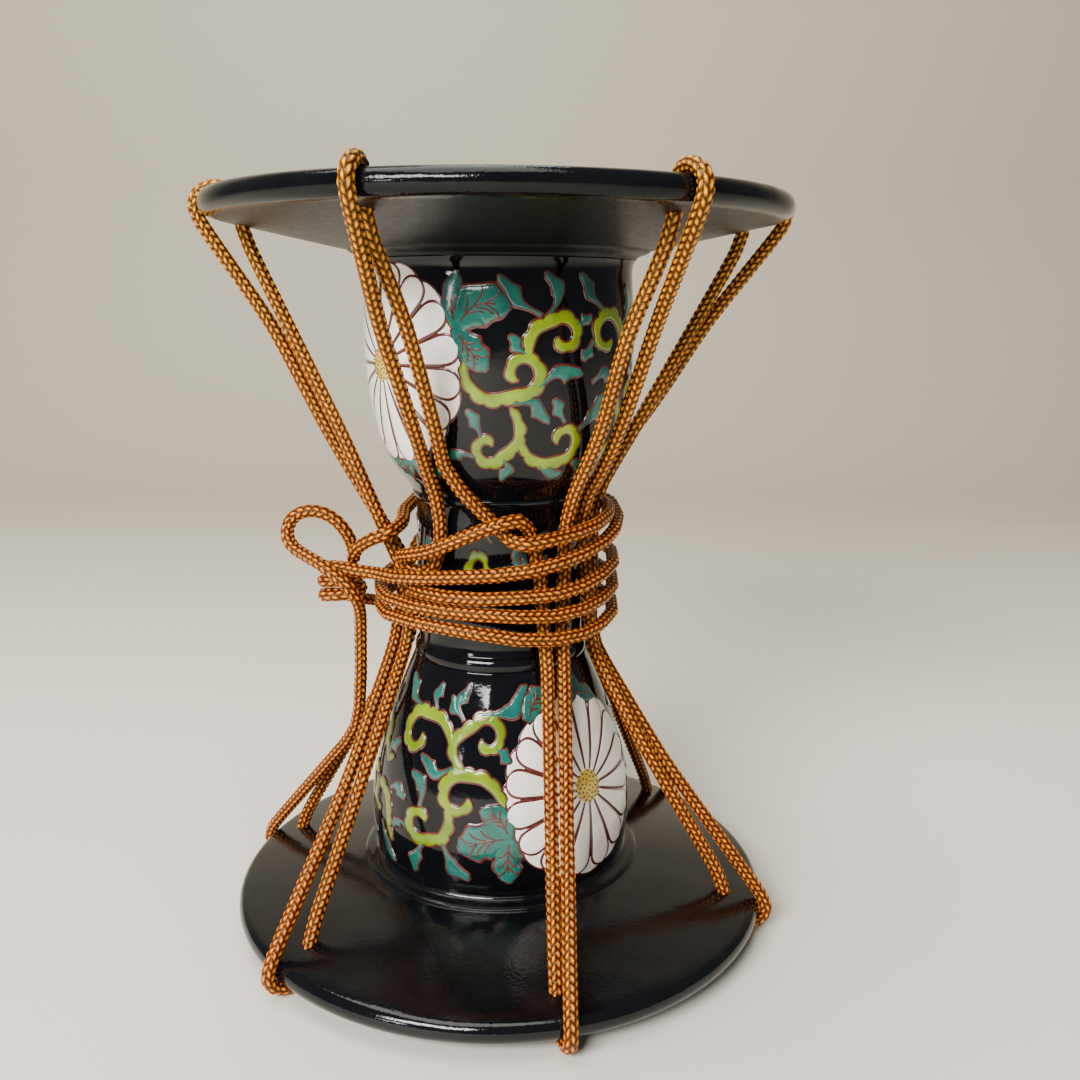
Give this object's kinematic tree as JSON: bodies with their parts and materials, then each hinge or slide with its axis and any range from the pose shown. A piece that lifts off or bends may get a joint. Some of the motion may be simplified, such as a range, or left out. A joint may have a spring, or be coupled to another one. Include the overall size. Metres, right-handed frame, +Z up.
{
  "type": "laced hourglass drum",
  "caption": "Hourglass drum with two wide flat flanged ends on a narrow waisted body, laced end to end with round cord that is wrapped and tied in a bow at the waist.",
  "frame": {"origin": "centre of the lower foot ring, in the plane the drum stands on", "axes": "+Z up along the drum's axis, -Y to the front, the knot and bow on the -X side"},
  "size_m": [0.2066, 0.2013, 0.2665],
  "materials": {
    "black_glaze": "gloss",
    "drum_skin": "satin",
    "orange_cord": "matte"
  },
  "bodies": {
    "root": {"lower_flange": "black_glaze", "lower_bowl": "black_glaze", "waist_tube": "black_glaze", "upper_bowl": "black_glaze", "upper_flange": "black_glaze", "lower_drumhead": "drum_skin", "upper_drumhead": "drum_skin", "lacing_cord": "orange_cord", "waist_cord": "orange_cord"}
  },
  "joints": []
}
